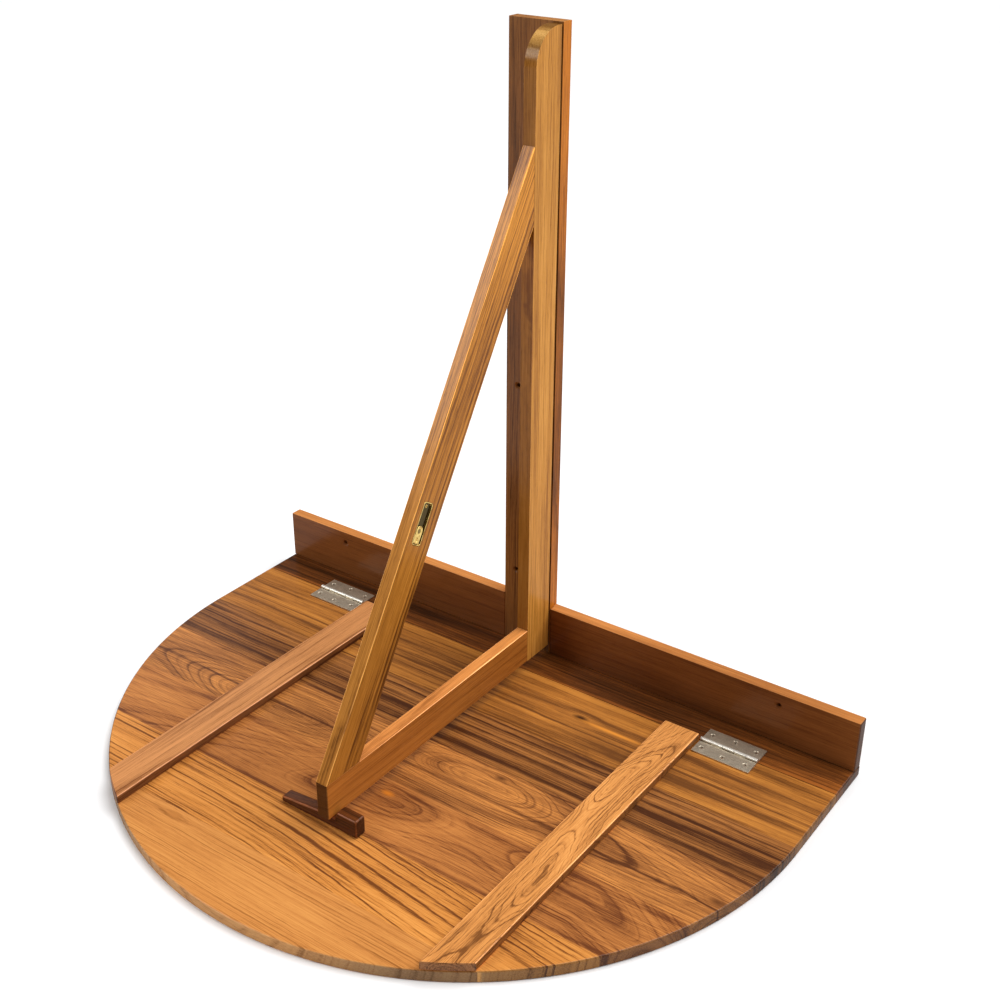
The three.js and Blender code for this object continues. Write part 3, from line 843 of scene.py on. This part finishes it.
def brace_outline():
    low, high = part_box("bracket_diagonal")
    return [
        (low.y, low.z),
        (low.y + brace_foot(), low.z),
        (high.y, high.z - brace_head()),
        (high.y, high.z),
    ]


def bracket_joints():
    """Boxes round the three glued joints, where the edges stay square."""
    stile_low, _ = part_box("bracket_stile")
    rail_low, rail_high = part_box("bracket_rail")
    brace_low, brace_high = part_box("bracket_diagonal")
    foot_end = rail_low.y + brace_foot()
    head_start = brace_high.z - brace_head()
    spans = (
        (rail_low.y, rail_high.z, foot_end, brace_low.z),
        (rail_high.y, rail_low.z, stile_low.y, rail_high.z),
        (brace_high.y, head_start, stile_low.y, brace_high.z),
    )
    slack = 0.1 * MM
    joints = []
    for front, bottom, back, top in spans:
        low = Vector((rail_low.x - slack, front - slack, bottom - slack))
        high = Vector((rail_high.x + slack, back + slack, top + slack))
        joints.append((low, high))
    return joints


def bracket_board(name, **choices):
    """Teak for a member of the bracket: its show face looks along the wall."""
    return Teak(name, out=X, face=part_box("bracket_stile")[1].x, arris_highlight=BRACKET_ARRIS_HIGHLIGHT, **choices)


def build_stile():
    stile = side_prism("stile", stile_outline(), "bracket_stile")
    # Painted shade: the front and back faces darkened for the little light the front one gets; the arrises
    # take a painted highlight.
    cut = bracket_board(
        "teak_stile", along=Z, tones=("#985e24", "#c98838", "#e2a04c"),
        heart=[(0, 0.45)], depth=[(0, 0.05)], pitch=7 * MM, bands=0.35, lines=0.4,
        streaks=[(0.252, 0.003, 0.6), (0.262, 0.002, 0.6), (0.2705, 0.004, 0.55)],
        fibres=0.36, waviness=2 * MM, side=(0.45, 0.4, 0.34), seed=61.0,
    )
    soften(stile, BRACKET_ROUND, joints=bracket_joints())
    stand_for(stile, "bracket_stile", teak(cut))


def build_rail():
    rail = side_prism("rail", rail_outline(), "bracket_rail")
    # Painted light: the top face lightened for the light from above, the ends darkened (partly their own
    # tone, partly painted shade), and a painted highlight on the arrises.
    cut = bracket_board(
        "teak_rail", along=Y, tones=("#8a4f1c", "#b06b2b", "#c47c34"),
        heart=[(0, 0.22)], depth=[(0, 0.04)], pitch=9 * MM, bands=0.3, lines=0.35,
        fibres=0.34, waviness=3 * MM, side=(1.45, 1.55, 2.3), end=(0.2, 0.2, 0.2), seed=66.0,
    )
    soften(rail, BRACKET_ROUND, joints=bracket_joints())
    stand_for(rail, "bracket_rail", teak(cut))


def build_brace():
    """The diagonal, with the recess for the catch and darker streaks near its inner edge."""
    brace = side_prism("brace", brace_outline(), "bracket_diagonal")
    soften(brace, BRACKET_ROUND, joints=bracket_joints())
    smooth(combine(brace, [catch_blank("recess", -CATCH_DEPTH, MM, JOINT_GAP)], "DIFFERENCE"))
    along = Vector((0, math.cos(brace_angle()), math.sin(brace_angle())))
    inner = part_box("bracket_diagonal")[0].dot(X.cross(along)) - BRACE_WIDTH
    streaks = [
        (inner + 4 * MM, 2.5 * MM, 0.6),
        (inner + 11 * MM, 2 * MM, 0.8),
        (inner + 17 * MM, 1.5 * MM, 0.5),
    ]
    # Painted light: the front face lightened for the light and the softbox's reflection on it, the ends
    # darkened (partly their own tone, partly painted shade), and a painted highlight on the arrises.
    cut = bracket_board(
        "teak_brace", along=along, tones=("#5c3311", "#9b6222", "#b7782e"),
        heart=[(0, 0.5)], depth=[(0, 0.05)], pitch=9 * MM, bands=0.28, lines=0.5, streaks=streaks,
        fibres=0.36, waviness=1.5 * MM, side=(1.12, 1.15, 1.4), end=(0.2, 0.2, 0.2),
        # painted light: the brace lighter towards its head, for the brighter light on its upper part
        bleached=(0.12, 0.55, (1.8, 1.85, 1.8)), seed=71.0,
    )
    stand_for(brace, "bracket_diagonal", teak(cut))


# ---------- brass catch

CATCH_LENGTH = 50 * MM
CATCH_WIDTH = 17.5 * MM
CATCH_DEPTH = 3 * MM
CATCH_RIM = 1.3 * MM
CATCH_FLOOR = 0.9 * MM
FLOOR_DEPTH = CATCH_DEPTH - CATCH_FLOOR
CATCH_CORNER = 4 * MM
TONGUE_LENGTH = 20.5 * MM
TONGUE_WIDTH = 12 * MM
TONGUE_THICKNESS = 1.1 * MM
TONGUE_DISH = 0.5 * MM
PAN_ROUND = 0.35 * MM
TONGUE_ROUND = 0.3 * MM
DARKENING_BLEND = 0.3 * MM


def catch_place():
    """Local X runs up the brace, local Y across it, and local Z out of its face."""
    low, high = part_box("catch_pan")
    angle = brace_angle()
    up = Vector((0, math.cos(angle), math.sin(angle)))
    across = X.cross(up)
    middle = (low + high) / 2
    middle.x = high.x
    turn = Matrix((up, across, X)).transposed().to_4x4()
    return Matrix.Translation(middle) @ turn


def rounded_rectangle(length, width, radius, steps=8):
    points = []
    for quarter, (sx, sy) in enumerate(((1, -1), (1, 1), (-1, 1), (-1, -1))):
        centre = (sx * (length / 2 - radius), sy * (width / 2 - radius))
        start = math.pi / 2 * (quarter - 1)
        points += arc(radius, start, start + math.pi / 2, steps, centre)
    return points


def placed_prism(name, outline, place, low, high):
    rings = [[place @ Vector((a, b, reach)) for a, b in outline] for reach in (low, high)]
    return solid(name, rings)


def catch_blank(name, low, high, grow=0.0):
    outline = rounded_rectangle(CATCH_LENGTH + 2 * grow, CATCH_WIDTH + 2 * grow, CATCH_CORNER + grow)
    return placed_prism(name, outline, catch_place(), low - grow, high)


def build_catch_pan():
    pan = catch_blank("pan", -CATCH_DEPTH, 0.0)
    inside = rounded_rectangle(
        CATCH_LENGTH - 2 * CATCH_RIM, CATCH_WIDTH - 2 * CATCH_RIM, CATCH_CORNER - CATCH_RIM
    )
    hollow = placed_prism("hollow", inside, catch_place(), -FLOOR_DEPTH, MM)
    combine(pan, [hollow], "DIFFERENCE")
    soften(pan, PAN_ROUND, 2)
    smooth(combine(pan, screw_sinks(["catch_screw_upper"], X), "DIFFERENCE"))
    stand_for(pan, "catch_pan", brass("brass_pan", FLOOR_DEPTH - DARKENING_BLEND))


def build_catch_tongue():
    """A flat tongue with a round end, dished there and screwed down at the other end."""
    place = catch_place()
    low = CATCH_RIM + 2 * JOINT_GAP - CATCH_LENGTH / 2
    half = TONGUE_WIDTH / 2
    end = low + TONGUE_LENGTH - half
    outline = [(low, -half), *arc(half, -math.pi / 2, math.pi / 2, 16, (end, 0.0)), (low, half)]
    tongue_top = TONGUE_THICKNESS + JOINT_GAP - FLOOR_DEPTH
    tongue = placed_prism("tongue", outline, place, tongue_top - TONGUE_THICKNESS, tongue_top)
    dish_radius = half - MM
    dish_profile = [
        (dish_radius * 0.5, -TONGUE_DISH),
        (dish_radius, 0.0),
        (dish_radius, MM),
    ]
    dish_place = place @ Matrix.Translation((end, 0, tongue_top))
    dish = turned("dish", dish_profile, dish_place)
    soften(tongue, TONGUE_ROUND, 2)
    smooth(combine(tongue, [dish, *screw_sinks(["catch_screw_lower"], X)], "DIFFERENCE"))
    stand_for(tongue, "catch_tongue", brass("brass_tongue", DARKENING_BLEND - tongue_top))


def build_catch_screws():
    metal = brass("brass_screws", CATCH_DEPTH)
    for node in ("catch_screw_upper", "catch_screw_lower"):
        build_screw(node, X, metal)


# ---------- screws

# Shares of the head's radius.
SHANK = 0.5
TIP = 0.1
SLOT_REACH = 0.62
SLOT_WIDTH = 0.3
SLOT_DEPTH = 0.5
HEAD_DROP = 0.12
HEAD_LIP = 0.05
HEAD_FLAT = 0.97
SINK_RIM = 1.16
SCREW_ROUND = 0.08 * MM


def screw_size(node, outward):
    """The middle of a screw's top, its length and its head's radius."""
    low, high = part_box(node)
    size = high - low
    return (low + high) / 2 + outward * max(size) / 2, max(size), sorted(size)[1] / 2


def build_screw(node, outward, material):
    """A countersunk screw with a cross slot, in its CAD node's place."""
    top, depth, head = screw_size(node, outward)
    drop = HEAD_DROP * head
    depth -= drop
    shank = head * SHANK
    cone = head - shank
    lip = HEAD_LIP * head
    profile = [
        (head * TIP, -depth),
        (shank, -depth + 2 * shank),
        (shank, -cone - lip),
        (head, -lip),
        (head * HEAD_FLAT, 0.0),
    ]
    place = facing(top - outward * drop, outward)
    piece = turned(node, profile, place)
    arm = head * SLOT_REACH
    half = head * SLOT_WIDTH / 2
    deep = head * SLOT_DEPTH
    slots = []
    for a, b in ((arm, half), (half, arm)):
        outline = [(-a, -b), (a, -b), (a, b), (-a, b)]
        slots.append(placed_prism("slot", outline, place, -deep, MM))
    combine(piece, slots, "DIFFERENCE")
    stand_for(soften(piece, SCREW_ROUND, 1), node, material)


# ---------- hinges

BUTT_KNUCKLES = 5
BUTT_THICKNESS = 1.5 * MM
BUTT_ROUND = 0.2 * MM
# How far above the plates the barrels start to take a painted highlight.
BARREL_HIGHLIGHT_RISE = 0.5 * MM
PIANO_KNUCKLES = 19
PIANO_THICKNESS = 1.0 * MM
PIANO_ROUND = 0.15 * MM
KNUCKLE_GAP = 0.45 * MM
PIN_GAP = 0.3 * MM
PIN_SIDES = 24


def knuckle_profile(radius, thickness, reach, steps=28):
    """A hinge leaf's section at a knuckle: a round barrel at (0, 0), and a plate along its low side."""
    start = -math.asin((radius - thickness) / radius)
    barrel = arc(radius, start, 1.5 * math.pi, steps)
    return [*barrel, (reach, -radius), (reach, thickness - radius)]


def build_butt_hinges():
    plate_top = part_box("hinge_left_wall_leaf")[0].z + BUTT_THICKNESS
    metal = steel("brushed_steel", X, Z, plate_top + BARREL_HIGHLIGHT_RISE)
    for label in ("left", "right"):
        for side in ("wall", "table"):
            build_butt_leaf(f"hinge_{label}_{side}_leaf", f"hinge_{label}_pin", side == "wall", metal)
            for index in (1, 2, 3):
                build_screw(f"hinge_{label}_{side}_screw_{index}", Z, metal)
        build_pin(f"hinge_{label}_pin", X, metal)


def rolled_leaf(name, place, length, plate, pin_radius, knuckles, first):
    """A hinge leaf. Local X is the pin's line, local Y the way the plate lies, local Z up from it.

    plate holds the barrel's radius, the sheet's thickness and the plate's reach from the pin. The
    leaf has every second knuckle, from the one numbered first.
    """
    radius, thickness, reach = plate
    plate_low = radius + KNUCKLE_GAP
    outline = [
        (plate_low, -radius),
        (reach, -radius),
        (reach, thickness - radius),
        (plate_low, thickness - radius),
    ]
    axes = place.to_3x3()
    along, across, up = (axes @ way for way in (X, Y, Z))
    origin = place.translation

    def push(outline, low, high):
        rings = [[origin + across * a + up * b + along * t for a, b in outline] for t in (low, high)]
        return solid(name, rings)

    leaf = push(outline, 0.0, length)
    pitch = length / knuckles
    rolls = []
    for index in range(first, knuckles, 2):
        low = index * pitch + (KNUCKLE_GAP / 2 if index > 0 else 0.0)
        high = (index + 1) * pitch - (KNUCKLE_GAP / 2 if index < knuckles - 1 else 0.0)
        rolls.append(push(knuckle_profile(radius, thickness, plate_low + MM), low, high))
    combine(leaf, rolls, "UNION")
    bore = push(circle(pin_radius + PIN_GAP, PIN_SIDES), -MM, length + MM)
    return combine(leaf, [bore], "DIFFERENCE")


def screw_sinks(nodes, outward):
    """Cutters for the sunk holes under the screws' heads."""
    sinks = []
    for node in nodes:
        top, _, head = screw_size(node, outward)
        profile = [
            (head * SHANK, -head * SHANK - 2 * MM),
            (head * SHANK, -head * (SHANK + HEAD_DROP)),
            (head * SINK_RIM, 0.0),
            (head * SINK_RIM, MM),
        ]
        sinks.append(turned("sink", profile, facing(top, outward)))
    return sinks


def build_butt_leaf(node, pin, to_wall, metal):
    low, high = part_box(node)
    pin_low, pin_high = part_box(pin)
    axis = (pin_low + pin_high) / 2
    radius = axis.z - low.z
    reach = max(high.y - axis.y, axis.y - low.y)
    pin_radius = (pin_high.z - pin_low.z) / 2
    length = pin_high.x - pin_low.x
    if to_wall:
        place = Matrix.Translation((pin_low.x, axis.y, axis.z))
    else:
        place = Matrix.Translation((pin_high.x, axis.y, axis.z)) @ Matrix.Rotation(math.pi, 4, "Z")
    plate = (radius, BUTT_THICKNESS, reach)
    leaf = rolled_leaf(node, place, length, plate, pin_radius, BUTT_KNUCKLES, 0 if to_wall else 1)
    screws = [node.replace("_leaf", f"_screw_{index}") for index in (1, 2, 3)]
    combine(leaf, screw_sinks(screws, Z), "DIFFERENCE")
    stand_for(soften(leaf, BUTT_ROUND, 2), node, metal)


def build_pin(node, axis, material):
    """A hinge pin with domed ends."""
    low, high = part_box(node)
    length = (high - low).dot(axis)
    radius = sorted(high - low)[0] / 2
    start = (low + high) / 2 - axis * length / 2
    dome = radius * 0.6
    profile = [
        (radius * 0.5, 0.0),
        (radius * 0.85, dome * 0.3),
        (radius, dome),
        (radius, length - dome),
        (radius * 0.85, length - dome * 0.3),
        (radius * 0.5, length),
    ]
    pin = turned(node, profile, facing(start, axis), PIN_SIDES)
    stand_for(smooth(pin), node, material)


def build_piano_hinge():
    metal = steel("brushed_steel_upright", Z, -X, -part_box("piano_hinge_pin")[0].x)
    pin_low, pin_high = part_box("piano_hinge_pin")
    axis = (pin_low + pin_high) / 2
    pin_radius = (pin_high.x - pin_low.x) / 2
    length = pin_high.z - pin_low.z
    for side, first in (("post", 0), ("stile", 1)):
        node = f"piano_hinge_{side}_leaf"
        low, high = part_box(node)
        reach = high.x - axis.x
        toward_wall = side == "post"
        radius = high.y - axis.y if toward_wall else axis.y - low.y
        up = -Y if toward_wall else Y
        along = X.cross(up)
        start = pin_low.z if along.z > 0 else pin_high.z
        turn = Matrix((along, X, up)).transposed().to_4x4()
        place = Matrix.Translation((axis.x, axis.y, start)) @ turn
        plate = (radius, PIANO_THICKNESS, reach)
        leaf = rolled_leaf(node, place, length, plate, pin_radius, PIANO_KNUCKLES, first)
        screws = [f"piano_hinge_{side}_screw_{index}" for index in (1, 2, 3)]
        combine(leaf, screw_sinks(screws, up), "DIFFERENCE")
        stand_for(soften(leaf, PIANO_ROUND, 1), node, metal)
        for screw in screws:
            build_screw(screw, up, metal)
    build_pin("piano_hinge_pin", Z, metal)


# ---------- metals and the hidden dowels

# Brush marks to the metre.
BRUSH_ALONG = 60.0
BRUSH_ACROSS = 4000.0


def steel(name, grain, up, highlight_from):
    """Brushed stainless steel, with a few dull spots, lightened above a height as a painted highlight on
    the barrels' tops.
    """
    tree = Tree(name)
    place = tree.place()
    across = grain.orthogonal()
    out = grain.cross(across)
    u, v, w = (tree.dot(place, axis) for axis in (grain, across, out))
    marks = tree.vector(
        tree.math("MULTIPLY", u, BRUSH_ALONG),
        tree.math("MULTIPLY", v, BRUSH_ACROSS),
        tree.math("MULTIPLY", w, BRUSH_ACROSS),
    )
    brush = tree.noise(marks, 3.0)
    spots = tree.cloud(place, 140.0, 4.0, 0.6)
    ground = tree.blend(tree.span(spots, 0.3, 0.8), colour("#cfc3ad"), colour("#b9ad98"))
    # Painted highlight: lighter above a height, on the tops of the barrels.
    height = tree.span(tree.dot(place, up), highlight_from, highlight_from + 1.5 * MM)
    ground = tree.blend(height, ground, colour("#f7f2e6"))
    tree.set(Base_Color=ground, Roughness=tree.span(brush, 0.2, 0.8, to_low=0.24, to_high=0.42))
    tree.set(Metallic=0.78, Normal=tree.bump(brush, 0.03 * MM))
    return tree.material


def brass(name, dark_from):
    """Polished brass, darkened below a depth from the brace's face."""
    tree = Tree(name)
    place = tree.place()
    cloud = tree.cloud(place, 170.0, 3.0, 0.55)
    ground = tree.blend(tree.span(cloud, 0.4, 0.75), colour("#e6c878"), colour("#b08a42"))
    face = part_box("catch_pan")[1].x
    depth = tree.math("SUBTRACT", face, tree.dot(place, X))
    # Darker below a depth from the face: the pan's floor, the bottom of the tongue's dish and deep in the
    # screws' slots.
    depth_darkening = tree.span(depth, dark_from, dark_from + DARKENING_BLEND)
    ground = tree.blend(depth_darkening, ground, colour("#4a3d1d"))
    tree.set(Base_Color=ground, Roughness=tree.span(cloud, 0.3, 0.7, to_low=0.14, to_high=0.26))
    tree.set(Metallic=1.0, Normal=tree.bump(cloud, 0.04 * MM))
    return tree.material


def dowel_wood():
    """Pale end-cut beech, for the dowels inside the joints."""
    tree = Tree("dowel_wood")
    place = tree.place()
    grain = tree.cloud(place, 400.0, 3.0)
    ground = tree.blend(tree.span(grain, 0.3, 0.7), colour("#cda878"), colour("#a8824f"))
    tree.set(Base_Color=ground, Roughness=tree.span(grain, 0.2, 0.8, to_low=0.6, to_high=0.8))
    tree.set(Normal=tree.bump(grain, 0.1 * MM))
    return tree.material


def finish_dowels():
    material = dowel_wood()
    for name, node in frame["nodes"].items():
        if "dowel" in name:
            node.data.materials.clear()
            node.data.materials.append(material)


# ---------- floor, light and camera

FLOOR_REACH = 12.0
WORLD_LIGHT = 0.22
CAMERA_PLACE = Vector((0.8732, -1.0354, 1.0632))
CAMERA_YAW = math.radians(-35.353)
CAMERA_PITCH = math.radians(-27.393)
CAMERA_ROLL = math.radians(0.262)
CAMERA_LENS = 50.87
CAMERA_SENSOR = 36


def floor_material():
    """Matt white paint, very slightly uneven."""
    tree = Tree("pale_floor")
    place = tree.place()
    cloud = tree.cloud(place, 3.0, 3.0)
    ground = tree.blend(tree.span(cloud, 0.2, 0.8), colour("#fbfbfb"), colour("#f6f6f7"))
    tree.set(Base_Color=ground, Roughness=0.9, Specular_IOR_Level=0.1)
    return tree.material


def build_floor():
    corners = [(x * FLOOR_REACH, y * FLOOR_REACH, 0) for x, y in ((-1, -1), (1, -1), (1, 1), (-1, 1))]
    mesh = bpy.data.meshes.new("floor")
    mesh.from_pydata(corners, [], [(0, 1, 2, 3)])
    mesh.materials.append(floor_material())
    floor = link("floor", mesh)


def softbox(name, place, target, width, height, power):
    light = bpy.data.lights.new(name, "AREA")
    light.shape = "RECTANGLE"
    light.size = width
    light.size_y = height
    light.energy = power
    lamp = link(name, light)
    lamp.location = place
    lamp.rotation_euler = (Vector(target) - Vector(place)).to_track_quat("-Z", "Y").to_euler()


def sun(name, toward, strength, spread):
    """Soft, even light over the whole floor, from far away in one direction."""
    light = bpy.data.lights.new(name, "SUN")
    light.energy = strength
    light.angle = math.radians(spread)
    lamp = link(name, light)
    lamp.rotation_euler = (-Vector(toward)).to_track_quat("-Z", "Y").to_euler()


def build_light():
    """A dim white room, a broad light overhead and two softboxes that the varnish mirrors."""
    world = bpy.data.worlds.new("studio")
    world.use_nodes = True
    background = world.node_tree.nodes["Background"]
    background.inputs["Color"].default_value = (1.0, 1.0, 1.0, 1.0)
    background.inputs["Strength"].default_value = WORLD_LIGHT
    bpy.context.scene.world = world
    sun("ceiling", toward=(0.38, 0.4, 0.83), strength=3.3, spread=60)
    softbox("front left", (-1.8, -2.0, 2.4), target=(0, 0.1, 0.5), width=1.5, height=1.2, power=45)
    softbox("back left", (-3.1, 1.7, 1.6), target=(0, 0, 0.2), width=1.4, height=1.4, power=7)


def build_camera():
    """Looks down on the table from its front right, turned by yaw, pitch and roll in that order."""
    data = bpy.data.cameras.new("camera")
    data.lens = CAMERA_LENS
    data.sensor_width = CAMERA_SENSOR
    data.clip_start = 0.05
    data.clip_end = 60
    camera = link("camera", data)
    forward = Vector((
        math.sin(CAMERA_YAW) * math.cos(CAMERA_PITCH),
        math.cos(CAMERA_YAW) * math.cos(CAMERA_PITCH),
        math.sin(CAMERA_PITCH),
    ))
    right = Vector((math.cos(CAMERA_YAW), -math.sin(CAMERA_YAW), 0))
    up = right.cross(forward)
    rolled_right = right * math.cos(CAMERA_ROLL) + up * math.sin(CAMERA_ROLL)
    rolled_up = up * math.cos(CAMERA_ROLL) - right * math.sin(CAMERA_ROLL)
    turn = Matrix((rolled_right, rolled_up, -forward)).transposed().to_4x4()
    camera.matrix_world = Matrix.Translation(CAMERA_PLACE) @ turn
    bpy.context.scene.camera = camera


# ---------- making it all

build_camera()
build_light()
build_floor()
build_top()
build_battens()
build_stop_block()
build_cleat()
build_post()
build_stile()
build_rail()
build_brace()
build_catch_pan()
build_catch_tongue()
build_catch_screws()
build_butt_hinges()
build_piano_hinge()
finish_dowels()
bpy.context.scene.view_settings.view_transform = "Standard"
